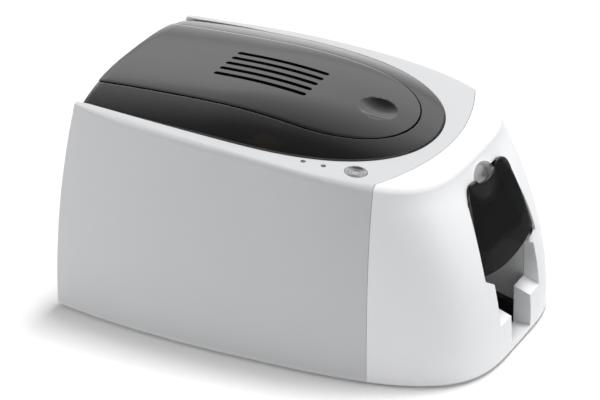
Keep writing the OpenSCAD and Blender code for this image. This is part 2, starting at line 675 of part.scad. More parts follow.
module motor_pinion() color("goldenrod") lift()
  gear(gear_x, motor_y, reduction_z, pinion_teeth, 0, motor_shaft_r + run_fit);
module drive_motor() color("gray") lift() {
  translate([plate_x - motor_l, motor_y - motor_s / 2, reduction_z - motor_s / 2])
    cube([motor_l, motor_s, motor_s]);
  rod(plate_x - eps, plate_x + plate_t, motor_y, reduction_z, 7.8);
  rod(plate_x, gear_x + gear_w + 1, motor_y, reduction_z, motor_shaft_r);
}
module pinch(y, r) {
  rod(-roller_half, roller_half, y, pinch_z, r);
  for (s = [-1, 1]) rod(s > 0 ? roller_half : -plate_x - plate_t,
    s > 0 ? plate_x + plate_t : -roller_half, y, pinch_z, 2);
}
module pinch_roller_front() color("silver") lift() pinch(front_roll_y, pinch_r);
module pinch_roller_rear() color("silver") lift() pinch(rear_roll_y, pinch_r);
module cleaning_roller() color("skyblue") lift() pinch(clean_y, pinch_r);

// ---------------------------------------------------------------- ribbon
flange_t = 1.5;
ribbon_half = plate_x - 4;
module spool(y, roll_r, x0) {
  rod(x0, plate_x + plate_t + 1, y, spool_z, axle_r);
  ring(-ribbon_half, 2 * ribbon_half, y, spool_z, core_r, axle_r - eps);
  for (s = [-1, 1]) ring(s > 0 ? ribbon_half - flange_t : -ribbon_half, flange_t, y, spool_z,
    spool_r, core_r - 1);
  ring(-card_w / 2 - 3, card_w + 6, y, spool_z, roll_r, core_r - 1);
}
left_gear_x = -gear_x - gear_w;
module takeup_spool() color("darkslategray") lift() spool(takeup_y, core_r + 2, left_gear_x);
module supply_spool() color("darkgoldenrod") lift()
  spool(supply_y, spool_r - 4, -plate_x - plate_t - 1);
module takeup_gear() color("ivory") lift()
  gear(left_gear_x, takeup_y, spool_z, takeup_teeth, 0, axle_r);
module ribbon_pinion() color("goldenrod") lift() gear(left_gear_x, ribbon_motor_y, spool_z,
  pinion_teeth, 180 / pinion_teeth, motor_shaft_r + run_fit);
bracket_x = left_gear_x - 3;
module motor_bracket() color("silver") lift() {
  along_x(bracket_x, 1.5) difference() {
    translate([ribbon_motor_y - 13, spool_z - 22]) square([26, 44]);
    translate([ribbon_motor_y, spool_z]) circle(4);
  }
  for (s = [-1, 1]) rod(bracket_x + 1.5, -plate_x - plate_t, ribbon_motor_y + 8,
    spool_z + s * 17.5, 2.5);
}
module ribbon_motor() color("gray") lift() {
  rod(bracket_x - 24, bracket_x, ribbon_motor_y, spool_z, 12);
  rod(bracket_x, -gear_x, ribbon_motor_y, spool_z, motor_shaft_r);
}

// ---------------------------------------------------------------- electronics
module main_board() color("darkgreen") lift()
  translate([board_x, board_y, board_z]) cube([board_w, board_l, 1.6]);
port_front = case_len / 2 - 16.5;
inlet_l = 11.4;
module dc_inlet() color("dimgray") lift() difference() {
  translate([inlet_x - 5, port_front, board_z + 1.6]) cube([10, inlet_l, port_z + 5 - board_z]);
  translate([inlet_x, port_front + 1.4, port_z]) rotate([-90, 0, 0]) cylinder(r = 2.9, h = 20);
}
module usb_port() color("silver") lift() difference() {
  translate([usb_x - 6, port_front, board_z + 1.6]) cube([12, 13, port_z + 5 - board_z]);
  translate([usb_x - 4.2, port_front + 4, port_z - 3.8]) cube([8.4, 20, 7.6]);
}
control_z = roof_z(button_y) - 16;
module control_board() color("darkgreen") lift() {
  translate([-light_x - 9, button_y - 10, control_z]) cube([25, 64, 1.6]);
  for (p = [[4, 13.5], [-5, 50.5]]) let (y = button_y + p[1])
    translate([-light_x + p[0], y, control_z + 1.6])
      cylinder(r = 2, h = roof_z(y - 2) - wall - control_z - 1.7);
}
module status_lights() color("lightgray") lift() for (k = [0, 1])
  let (y = light_y + light_pitch * k) translate([-light_x - 2.5 * k, y, control_z + 1.6])
    cylinder(r = light_r, h = roof_z(y) + 0.2 - control_z - 1.6);
module power_button() color("silver") lift() on_deck(button_y) translate([-button_x, 0, 0]) {
  translate([0, 0, -6]) cylinder(r = button_r, h = 6.6);
  translate([0, 0, -11.5]) cylinder(r = 2.5, h = 5.6);
}

// ---------------------------------------------------------------- lid
hinge_y = lid_rear_y - hinge_in;
hinge_z = roof_h - hinge_below;
knuckle_r = lid_pin_r + 2;
module hinge_brackets() color("gainsboro") lift() for (s = [-1, 1])
  along_x(s > 0 ? hinge_x : -hinge_x - 4, 4) difference() {
    union() {
      translate([hinge_y, hinge_z]) circle(knuckle_r);
      polygon([[hinge_y - 3, hinge_z], [hinge_y - 3, hinge_z - 16],
        for (z = [hinge_z - 36:4.5:hinge_z - 8]) [rear_y(z) - wall - 0.2, z],
        [hinge_y + 3, hinge_z - 3]]);
    }
    translate([hinge_y, hinge_z]) circle(lid_pin_r);
  }
module lid_hinge_pins() color("silver") lift() for (s = [-1, 1])
  rod(s > 0 ? hinge_x - 1 : -hinge_x - 9, s > 0 ? hinge_x + 9 : -hinge_x + 1, hinge_y,
    hinge_z, lid_pin_r);

cover_steps = 7;
module lid_cover() color([0.25, 0.26, 0.27]) lift() {
  out = both_sides(lid_half(0));
  inn = both_sides(panel_half(-panel_gap));
  grid = [for (i = [0:len(out) - 1]) [for (k = [0:cover_steps])
    out[i] + (inn[i] - out[i]) * k / cover_steps]];
  shell_of([for (row = grid) [for (p = row) [p[0], p[1], lid_z(p[0], p[1])]]],
    [for (row = grid) [for (p = row) [p[0], p[1], lid_z(p[0], p[1]) - lid_t]]]);
}
panel_steps = 8;
module lid_panel() color([0.32, 0.33, 0.34]) lift() difference() {
  h = panel_half(0);
  rows = [for (i = [0:len(h) - 1]) let (w = max(h[i][0], 4), y = h[i][1])
    [for (k = [panel_steps:-1:-panel_steps]) [w * k / panel_steps, y]]];
  shell_of([for (r = rows) [for (p = r) [p[0], p[1], lid_z(p[0], p[1]) + panel_raise]]],
    [for (r = rows) [for (p = r) [p[0], p[1], lid_z(p[0], p[1]) + panel_raise - lid_t]]]);
  y0 = lid_nose_y + slot_from_nose;
  for (k = [0:slot_count - 1]) translate([(k - (slot_count - 1) / 2) * slot_pitch, 0, path_z])
    linear_extrude(far) {
      translate([-slot_w / 2, y0 + slot_w / 2]) square([slot_w, slot_len - slot_w]);
      for (y = [y0 + slot_w / 2, y0 + slot_len - slot_w / 2]) translate([0, y])
        circle(slot_w / 2);
    }
  dish_y = lid_nose_y + dish_from_nose;
  ball_r = (dish_r * dish_r + dish_depth * dish_depth) / (2 * dish_depth);
  lean = atan(crest_slope(dish_y));
  translate([0, dish_y, lid_z(0, dish_y) + panel_raise]) rotate([lean, 0, 0])
    translate([0, 0, ball_r - dish_depth]) sphere(r = ball_r, $fn = 96);
}
// Upright wall under the lid's rear edge, notched for the hinge brackets.
module lid_end_cap() color([0.25, 0.26, 0.27]) lift() along_y(lid_rear_y - 2, 1.8)
  difference() {
    polygon(concat([for (k = [-8:8]) let (x = k / 8 * (lid_rear_w / 2 - 4))
      [x, lid_z(x, lid_rear_y - 2) - lid_t - 0.1]],
      [[lid_rear_w / 2 - 4, rear_top + 3], [-lid_rear_w / 2 + 4, rear_top + 3]]));
    for (s = [-1, 1]) translate([s * (hinge_x + 4.4) - 5.4, 0])
      square([10.8, hinge_z + knuckle_r + 0.8]);
  }
rib_x = hinge_x + 4.4;
rib_t = 3;
rib_deep = 8;
rib_step = (hinge_y - 4 - lid_nose_y - 72) / 9;
bar_ys = [print_y - 12, print_y + 14, print_y + 100];
function rib_top(y) = lid_z(rib_x + rib_t, y) - lid_t - 0.6;
module lid_frame() color("dimgray") lift() {
  for (s = [-1, 1]) along_x(s > 0 ? rib_x : -rib_x - rib_t, rib_t) difference() {
    union() {
      polygon(concat([for (k = [0:9]) let (y = hinge_y - 4 - k * rib_step) [y, rib_top(y)]],
        [for (k = [9:-1:0]) let (y = hinge_y - 4 - k * rib_step) [y, rib_top(y) - rib_deep]]));
      translate([hinge_y, hinge_z]) circle(knuckle_r);
      translate([hinge_y - 6, hinge_z - 3]) square([6, 6]);
    }
    translate([hinge_y, hinge_z]) circle(lid_pin_r + run_fit);
  }
  for (y = bar_ys) along_y(y - 1.5, 3) polygon(concat(
    [for (k = [-6:6]) let (x = k / 6 * rib_x) [x, lid_z(x, y) - lid_t - 0.8]],
    [for (k = [6:-1:-6]) let (x = k / 6 * rib_x) [x, lid_z(x, y) - lid_t - 7]]));
}

// ---------------------------------------------------------------- print head
head_z = path_z + 1;
head_half = guide_half - 0.5;
arm_x = 36;
module head_carrier() color("silver") lift() {
  for (s = [-1, 1]) along_x(s > 0 ? arm_x : -arm_x - 2, 2) polygon([
    [bar_ys[0] + 1.5, lid_z(arm_x, bar_ys[0]) - lid_t - 6], [bar_ys[0] + 1.5, head_z + 16],
    [bar_ys[1] - 1.5, head_z + 16], [bar_ys[1] - 1.5, lid_z(arm_x, bar_ys[1]) - lid_t - 6]]);
  translate([-arm_x - 2, bar_ys[0] + 1.5, head_z + 14])
    cube([2 * arm_x + 4, bar_ys[1] - bar_ys[0] - 3, 2]);
}
module print_head() color("darkgray") lift() {
  along_x(-head_half, 2 * head_half) polygon([[print_y - 9, head_z + 14], [print_y - 9, head_z + 5],
    [print_y - 2, head_z], [print_y + 2, head_z], [print_y + 11, head_z + 5],
    [print_y + 11, head_z + 14]]);
}

// ---------------------------------------------------------------- feeder door
function door_front(x, z) = let (f = max(0, (z - door_z0) / (door_z1 - door_z0)))
  nose_at(x, z) + door_inset - (door_bulge + door_inset) * f * f;
door_cols = [-1, -0.98, -0.93, -0.85, -0.72, -0.6, -0.535, -0.5, -0.42, -0.3, -0.15, 0,
  0.15, 0.3, 0.42, 0.5, 0.535, 0.6, 0.72, 0.85, 0.93, 0.98, 1];
door_rows = 10;
function door_point(f, g, t) = let (low = door_foot(f), top = door_top(f * door_high),
  z = low + g * (top - low), x = f * door_half(max(z, door_z0))) [x, door_front(x, z) + t, z];
module feeder_door() color([0.12, 0.12, 0.13]) lift() shell_of(
  [for (j = [0:door_rows]) [for (f = door_cols) door_point(f, j / door_rows, 0)]],
  [for (j = [0:door_rows]) [for (f = door_cols) door_point(f, j / door_rows, door_t)]]);
ear_x = door_low - 7;
function door_back(z) = door_front(ear_x + 4, z) + door_t + 0.2;
module door_hinge_bar() color([0.12, 0.12, 0.13]) lift() for (s = [-1, 1])
  along_x(s > 0 ? ear_x : -ear_x - 4, 4) difference() {
    union() {
      translate([pin_y, pin_z]) circle(door_pin_r + 1.8);
      polygon([[pin_y, pin_z - 2.5], [pin_y, pin_z + 3], [door_back(pin_z + 8), pin_z + 8],
        [door_back(pin_z), pin_z]]);
    }
    translate([pin_y, pin_z]) circle(door_pin_r + run_fit);
  }
module door_hinge_blocks() color("gainsboro") lift() for (s = [-1, 1]) {
  along_x(s > 0 ? door_low + 1.2 : -door_low - 6.2, 5) difference() {
    translate([pin_y - 2.9, pin_z - 4]) square([8, 8]);
    translate([pin_y, pin_z]) circle(door_pin_r - eps);
  }
  rod(s > 0 ? ear_x - 1 : -door_low - 6, s > 0 ? door_low + 6 : -ear_x + 1, pin_y,
    pin_z, door_pin_r);
}

rear_housing();
front_fascia();
base_pan();
rubber_feet();
chassis_plate_left();
chassis_plate_right();
tie_bars();
shaft_bushes();
gear_studs();
card_hopper();
card_track();
output_bin();
output_tray();
drive_motor();
ribbon_motor();
motor_bracket();
main_board();
dc_inlet();
usb_port();
control_board();
status_lights();
hinge_brackets();
lid_hinge_pins();
door_hinge_blocks();
lid_cover();
lid_panel();
lid_end_cap();
lid_frame();
head_carrier();
print_head();
feeder_door();
door_hinge_bar();
power_button();
thickness_slider();
feed_roller();
feed_shaft();
feed_gear();
front_roller();
front_shaft();
front_gear();
platen_roller();
platen_shaft();
platen_gear();
rear_roller();
rear_shaft();
rear_gear();
idler_gear_a();
idler_gear_b();
idler_gear_c();
reduction_gear();
motor_pinion();
takeup_spool();
takeup_gear();
ribbon_pinion();
supply_spool();
pinch_roller_front();
pinch_roller_rear();
cleaning_roller();
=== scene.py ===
# %% [markdown]
# # A desktop card printer in Blender
# The machine is an egg-shaped white case with a smoked lid on its roof and a smoked feeder
# door in its nose. The solid model already holds the mechanism, so this lesson loads it, makes
# the curved shells again with a finer skin, and gives every piece its finish.

# %% Load the solid model
import json
import math

import bmesh
import bpy
from mathutils import Matrix, Vector


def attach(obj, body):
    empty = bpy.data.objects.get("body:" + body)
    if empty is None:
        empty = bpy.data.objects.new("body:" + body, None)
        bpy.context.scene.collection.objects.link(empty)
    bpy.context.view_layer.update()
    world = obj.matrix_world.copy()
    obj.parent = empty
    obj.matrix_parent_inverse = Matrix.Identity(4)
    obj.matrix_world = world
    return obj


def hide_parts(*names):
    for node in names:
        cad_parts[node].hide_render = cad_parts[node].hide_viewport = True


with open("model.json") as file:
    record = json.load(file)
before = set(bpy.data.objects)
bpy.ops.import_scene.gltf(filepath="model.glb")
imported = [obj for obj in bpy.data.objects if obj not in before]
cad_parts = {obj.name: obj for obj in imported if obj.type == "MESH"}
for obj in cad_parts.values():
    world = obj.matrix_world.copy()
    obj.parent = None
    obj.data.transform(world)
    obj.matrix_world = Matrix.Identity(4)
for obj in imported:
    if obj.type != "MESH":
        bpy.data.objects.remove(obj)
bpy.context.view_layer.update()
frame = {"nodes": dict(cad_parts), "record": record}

# %% [markdown]
# ## Units and places
# The drawings are in millimetres above the lower edge of the case, and Blender works in
# metres above the table. One small helper turns the first into the second, so each number
# below can be read like a drawing.

# %% Units and places
MM = 0.001
FOOT = 2.5


def at(x, y, z):
    """A place on the drawing, as a point in the scene."""
    return Vector((x * MM, y * MM, (z + FOOT) * MM))


print("top of the lid's crest stands at", at(0, 60, 203))

# %% [markdown]
# ## Camera
# A long lens from far off keeps the case's sides nearly parallel, as catalogue views do. It is
# aimed by angles round the object, with a small roll and shift for the framing.

# %% Camera
LENS_PIXELS, FRAME_WIDTH, SENSOR = 3264.62, 600, 36
AIM_Z, DISTANCE = 95, 2.76534
SHIFT_X, SHIFT_Y = -13.56, -5.02
azimuth, elevation, roll = (math.radians(a) for a in (-63.299, 26.671, -0.906))
camera = bpy.data.objects.new("camera", bpy.data.cameras.new("camera"))
bpy.context.scene.collection.objects.link(camera)
bpy.context.scene.camera = camera
back = Vector((math.sin(azimuth) * math.cos(elevation),
               -math.cos(azimuth) * math.cos(elevation), math.sin(elevation)))
camera.location = at(0, 0, AIM_Z) + back * DISTANCE
camera.rotation_mode = "QUATERNION"
camera.rotation_quaternion = (-back).to_track_quat("-Z", "Y") @ Matrix.Rotation(
    roll, 3, "Z").to_quaternion()
camera.data.sensor_width = SENSOR
camera.data.lens = SENSOR * LENS_PIXELS / FRAME_WIDTH
camera.data.shift_x, camera.data.shift_y = SHIFT_X / FRAME_WIDTH, SHIFT_Y / FRAME_WIDTH
camera.data.clip_end = 100
print("lens", round(camera.data.lens, 1), "mm at", camera.location)

# %% [markdown]
# ## The case's surface
# The case is an egg in plan. Each height has its own outline: the sides lean in, the nose and
# the rear wall lean back, and the roof is one long arc. Writing these as small functions lets
# every shell, cut and line below agree to a hundredth of a millimetre.

# %% The case's surface
FRONT_Y, BELLY_Y, REAR_Y, CASE_LEN = -192.2, 23.0, 192.5, 385
ROOF_TOP, ROOF_FALL, HALF_W, SIDE_LEAN = 190.6, 31.8, 125, 8
REAR_LEAN, NOSE_LEAN, NOSE_FOOT, NOSE_TALL = 22, 62.6, 13, 177.6
REAR_CORNER, REAR_TAPER, WALL = 2.0, 15.5, 2.5
SQUARE_X, SQUARE_Y = 4.1, 3.2


def roof_z(y):
    return ROOF_TOP - ROOF_FALL * ((REAR_Y - y) / CASE_LEN) ** 2


def half_w(z):
    return HALF_W - SIDE_LEAN * (max(z, 0) / ROOF_TOP) ** 1.6


def rear_y(z):
    return REAR_Y - REAR_LEAN * (z / ROOF_TOP) ** 2


def nose_y(z):
    return FRONT_Y + NOSE_LEAN * ((z - NOSE_FOOT) / NOSE_TALL) ** 2


def nose_at(x, z):
    side = min(1, abs(x) / half_w(z))
    return BELLY_Y - (BELLY_Y - nose_y(z)) * (1 - side ** SQUARE_X) ** (1 / SQUARE_Y)


print("roof falls from", roof_z(REAR_Y), "to", round(roof_z(FRONT_Y), 1), "mm")

# %% [markdown]
# ## Outlines with matching stations
# The skin runs from the case's outline to the lid opening, so both outlines are cut into the
# same stations: the rear edge, the corner, the side and the nose. Station n of one then
# always faces station n of the other.

# %% Outlines with matching stations
STATIONS = ([("rear", q / 10) for q in range(10)] + [("corner", q / 6) for q in range(7)]
            + [("side", 1 - q / 24) for q in range(1, 24)]
            + [("nose", q / 64) for q in range(65)])


def egg(width, taper, y_rear, y_belly, y_nose, square_x, square_y, kind, q):
    if kind == "side":
        return width - taper * q * q, y_belly + q * (y_rear - y_belly)
    turn = math.pi / 2 * (1 - (1 - q) ** 1.8)
    return (width * max(0, math.cos(turn)) ** (2 / square_x),
            y_belly - (y_belly - y_nose) * math.sin(turn) ** (2 / square_y))


def case_point(kind, q, z, inset):
    width, y_rear = half_w(z) - inset, rear_y(z) - inset
    if kind == "rear":
        return q * (width - REAR_TAPER - REAR_CORNER), y_rear
    if kind == "corner":
        turn = q * math.pi / 2
        return (width - REAR_TAPER - REAR_CORNER * (1 - math.sin(turn)),
                y_rear - REAR_CORNER * (1 - math.cos(turn)))
    return egg(width, REAR_TAPER, y_rear, BELLY_Y, nose_y(z) + inset, SQUARE_X, SQUARE_Y,
               kind, q)


def both_sides(half):
    """The whole outline from its right half, which begins and ends on the middle plane."""
    return half + [(-p[0], *p[1:]) for p in reversed(half[1:-1])]


print(2 * len(STATIONS) - 2, "stations round the case")

# %% [markdown]
# ## The lid's opening and surface
# The lid is a second, rounder egg that stops at the rear wall. Its crest is a long arc, and
# across its width it is flat in the middle and steep at the rim, like a loaf of bread.

# %% The lid's opening and surface
LID_NOSE, LID_REAR, LID_BELLY, LID_GAP = -112.5, 165.6, 45.0, 0.8
LID_HALF, LID_TAPER, LID_SQUARE_X, LID_SQUARE_Y = 102, 7.5, 2.05, 2.7
CREST_Y, CREST_Z, PROUD, LOAF = 60.0, 203.0, 1.4, 3.0
REAR_FALL, REAR_SINK, REAR_BOW = 2.5, 2.4, 2.5
NOSE_FALL = CREST_Z - (roof_z(LID_NOSE) + PROUD)


def lid_point(kind, q, inset, corner=1.5):
    width, y_rear = LID_HALF - inset, LID_REAR - inset
    rear_half = width - LID_TAPER
    if kind == "rear":
        return q * (rear_half - 4), y_rear
    if kind == "corner":
        if q < 0.5:
            return rear_half - 4 + (4 - corner) * q * 2, y_rear
        turn = (q - 0.5) * math.pi
        return (rear_half - corner * (1 - math.sin(turn)),
                y_rear - corner * (1 - math.cos(turn)))
    return egg(width, LID_TAPER, y_rear, LID_BELLY, LID_NOSE + inset, LID_SQUARE_X,
               LID_SQUARE_Y, kind, q)

# %% The lid's surface
def lid_half_at(y):
    if y > LID_BELLY:
        return LID_HALF - LID_TAPER * ((y - LID_BELLY) / (LID_REAR - LID_BELLY)) ** 2
    along = min(1, (LID_BELLY - y) / (LID_BELLY - LID_NOSE))
    return LID_HALF * max(0.0001, 1 - along ** LID_SQUARE_Y) ** (1 / LID_SQUARE_X)


def crest_z(y):
    if y > CREST_Y:
        return CREST_Z - REAR_FALL * ((y - CREST_Y) / (LID_REAR - CREST_Y)) ** 2
    return CREST_Z - NOSE_FALL * ((CREST_Y - y) / (CREST_Y - LID_NOSE)) ** 2


def behind_belly(y):
    """How far a place lies from the lid's widest part to its rear edge, as a share."""
    return max(0, y - LID_BELLY) / (LID_REAR - LID_BELLY)


def bowed_y(x, y):
    """The lid's rear edge bows out a little behind its middle."""
    return y + REAR_BOW * behind_belly(y) ** 3 * (1 - (x / LID_HALF) ** 2)


def lid_z(x, y):
    low, high = roof_z(y) + PROUD - REAR_SINK * behind_belly(y), crest_z(y)
    return high - (high - low) * min(1, abs(x) / lid_half_at(y)) ** LOAF


print("lid falls", round(NOSE_FALL, 1), "mm from its crest to its nose")

# %% [markdown]
# ## Helpers for skins
# A curved shell starts as Blender's flat grid. Every corner of the grid is then moved to the
# place that the surface functions give it, which keeps clean rows of four-sided faces. Where a
# grid closes on itself, its doubled edge is merged.

# %% Helpers for skins
def skin(bm, columns, rows, place):
    """Adds a grid to bm and moves corner (column, row) to place(column, row)."""
    made = bmesh.ops.create_grid(bm, x_segments=columns, y_segments=rows, size=1)["verts"]
    for v in made:
        column, row = round((v.co.x + 1) / 2 * columns), round((v.co.y + 1) / 2 * rows)
        v.co = at(*place(column, row))
    return made


def close_up(bm, cap=False):
    """Merges doubled corners, caps open ends if asked, and turns the faces outwards."""
    bmesh.ops.remove_doubles(bm, verts=bm.verts, dist=0.002 * MM)
    if cap:
        rims = [e for e in bm.edges if e.is_boundary]
        bmesh.ops.holes_fill(bm, edges=rims, sides=0)
    bmesh.ops.recalc_face_normals(bm, faces=bm.faces)

# %% Helpers for finished pieces
def new_piece(name, bm):
    mesh = bpy.data.meshes.new(name)
    bm.to_mesh(mesh)
    bm.free()
    piece = bpy.data.objects.new(name, mesh)
    bpy.context.scene.collection.objects.link(piece)
    return piece


def settle(piece):
    """Applies the piece's modifiers to its mesh."""
    graph = bpy.context.evaluated_depsgraph_get()
    shaped = bpy.data.meshes.new_from_object(piece.evaluated_get(graph))
    piece.modifiers.clear()
    piece.data = shaped
    shaped.name = piece.name


def combine(piece, operation, *tools):
    """Cuts, joins or crosses the piece with other shapes, which are then thrown away."""
    for tool in tools:
        step = piece.modifiers.new(tool.name, "BOOLEAN")
        step.operation, step.object, step.solver = operation, tool, "EXACT"
    settle(piece)
    for tool in tools:
        bpy.data.objects.remove(tool)


def smooth(piece, degrees=30):
    """Shades the faces smoothly, with a crisp line where they meet at a larger angle."""
    piece.data.shade_smooth()
    piece.data.set_sharp_from_angle(angle=math.radians(degrees))


def round_rims(piece, width, segments):
    """Rounds the piece's sharp edges by a bevel of width millimetres."""
    edge_round = piece.modifiers.new("rims", "BEVEL")
    edge_round.width, edge_round.segments = width * MM, segments
    edge_round.limit_method, edge_round.angle_limit = "ANGLE", math.radians(50)
    settle(piece)


def dress(piece, body, slot, *nodes):
    """Gives the piece its finish and hangs it on its body in place of its plain nodes."""
    piece.data.materials.append(FINISHES[slot])
    smooth(piece)
    if nodes:
        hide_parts(*nodes)
    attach(piece, body)
    print(piece.name, len(piece.data.polygons), "faces on", body)
    return piece

# %% [markdown]
# ## Helpers for cutters
# Openings are cut with simple shapes: a block, or an outline drawn from the side or the front
# and pulled through the case. These helpers draw a face from an outline and extrude it.

# %% Helpers for cutters
def pulled(name, outline, axis, start, length):
    """An outline pulled along X (drawn in Y and Z), Y (in X and Z) or Z (in X and Y)."""
    spot = {"x": lambda a, b: (start, a, b), "y": lambda a, b: (a, start, b),
            "z": lambda a, b: (a, b, start)}[axis]
    bm = bmesh.new()
    face = bm.faces.new([bm.verts.new(at(*spot(*p))) for p in outline])
    grown = bmesh.ops.extrude_face_region(bm, geom=[face])["geom"]
    way = {"x": (length, 0, 0), "y": (0, length, 0), "z": (0, 0, length)}[axis]
    bmesh.ops.translate(bm, verts=[g for g in grown if isinstance(g, bmesh.types.BMVert)],
                        vec=Vector(way) * MM)
    bmesh.ops.recalc_face_normals(bm, faces=bm.faces)
    return new_piece(name, bm)


def block(name, low, high):
    bm = bmesh.new()
    size = [b - a for a, b in zip(low, high)]
    middle = at(*[(a + b) / 2 for a, b in zip(low, high)])
    bmesh.ops.create_cube(bm, size=1, matrix=Matrix.Translation(middle)
                          @ Matrix.Diagonal((*[s * MM for s in size], 1)))
    return new_piece(name, bm)


def drum(name, place, turn, radius, length, sides=64):
    """A cylinder round its own Z, turned by a matrix and centred on a place."""
    bm = bmesh.new()
    bmesh.ops.create_cone(bm, cap_ends=True, segments=sides, radius1=radius * MM,
                          radius2=radius * MM, depth=length * MM,
                          matrix=Matrix.Translation(at(*place)) @ turn)
    return new_piece(name, bm)

# %% [markdown]
# ## Finishes
# Moulded plastic is never one flat colour: the mould leaves a fine grain that breaks up the
# highlight, and the colour drifts a little over a large part. One recipe makes all the
# plastics, with the grain size and gloss that each one needs.

# %% Finishes: the shared recipe
def finish_nodes(name, colour, roughness, metal=0.0):
    material = bpy.data.materials.new(name)
    material.use_nodes = True
    tree = material.node_tree
    shader = tree.nodes["Principled BSDF"]
    shader.inputs["Metallic"].default_value = metal
    shader.inputs["Roughness"].default_value = roughness
    shader.inputs["Base Color"].default_value = (*colour, 1)
    place = tree.nodes.new("ShaderNodeTexCoord")
    return material, tree, shader, place.outputs["Object"]

# %% Finishes: patterns, colours and grain
def noise(tree, where, size, detail=3.0):
    """Noise whose blobs are about size millimetres across."""
    node = tree.nodes.new("ShaderNodeTexNoise")
    node.inputs["Scale"].default_value = 1 / (size * MM)
    node.inputs["Detail"].default_value = detail
    tree.links.new(where, node.inputs["Vector"])
    return node.outputs["Fac"]


def spread(tree, value, low, high):
    """Stretches a 0 to 1 pattern between two numbers."""
    node = tree.nodes.new("ShaderNodeMapRange")
    node.inputs["From Min"].default_value, node.inputs["From Max"].default_value = 0.3, 0.7
    node.inputs["To Min"].default_value, node.inputs["To Max"].default_value = low, high
    tree.links.new(value, node.inputs["Value"])
    return node.outputs["Result"]


def mix_colours(tree, share, first, second):
    node = tree.nodes.new("ShaderNodeMix")
    node.data_type = "RGBA"
    tree.links.new(share, node.inputs["Factor"])
    for socket, value in zip((node.inputs["A"], node.inputs["B"]), (first, second)):
        if isinstance(value, tuple):
            socket.default_value = (*value, 1)
        else:
            tree.links.new(value, socket)
    return node.outputs["Result"]


def bump(tree, shader, height, depth, strength=1.0):
    node = tree.nodes.new("ShaderNodeBump")
    node.inputs["Distance"].default_value = depth * MM
    node.inputs["Strength"].default_value = strength
    tree.links.new(height, node.inputs["Height"])
    tree.links.new(node.outputs["Normal"], shader.inputs["Normal"])

# %% Finishes: the plastic recipe
def plastic(name, colour, roughness, grain=0.6, depth=0.02, drift=0.04, coat=0.0):
    material, tree, shader, where = finish_nodes(name, colour, roughness)
    paler = tuple(min(1, c * (1 + drift)) for c in colour)
    darker = tuple(c * (1 - drift) for c in colour)
    tree.links.new(mix_colours(tree, noise(tree, where, 60), darker, paler),
                   shader.inputs["Base Color"])
    tree.links.new(spread(tree, noise(tree, where, 9), roughness * 0.9, roughness * 1.12),
                   shader.inputs["Roughness"])
    bump(tree, shader, noise(tree, where, grain, 1.0), depth)
    shader.inputs["Coat Weight"].default_value = coat
    shader.inputs["Coat Roughness"].default_value = 0.04
    return material

# %% Finishes: metal and smoked plastic
def metal(name, colour, roughness, size=0.5, stretch=(1, 30, 30), depth=0.004):
    """Metal with fine drawn lines along X, or an even grain when stretch is even."""
    material, tree, shader, where = finish_nodes(name, colour, roughness, 1.0)
    mapping = tree.nodes.new("ShaderNodeMapping")
    mapping.inputs["Scale"].default_value = stretch
    tree.links.new(where, mapping.inputs["Vector"])
    lines = noise(tree, mapping.outputs["Vector"], size * 20, 4.0)
    tree.links.new(spread(tree, lines, roughness * 0.75, roughness * 1.3),
                   shader.inputs["Roughness"])
    bump(tree, shader, lines, depth)
    tree.links.new(mix_colours(tree, noise(tree, where, 25), tuple(c * 0.92 for c in colour),
                               colour), shader.inputs["Base Color"])
    return material


def smoke(name, colour, roughness, solid=0.8):
    """Smoked clear plastic: gloss on a dark body that a little of the inside shows through."""
    material = plastic(name, colour, roughness, 30, 0.012, 0.1)
    shader = material.node_tree.nodes["Principled BSDF"]
    shader.inputs["Alpha"].default_value = solid
    shader.inputs["IOR"].default_value = 1.7
    return material

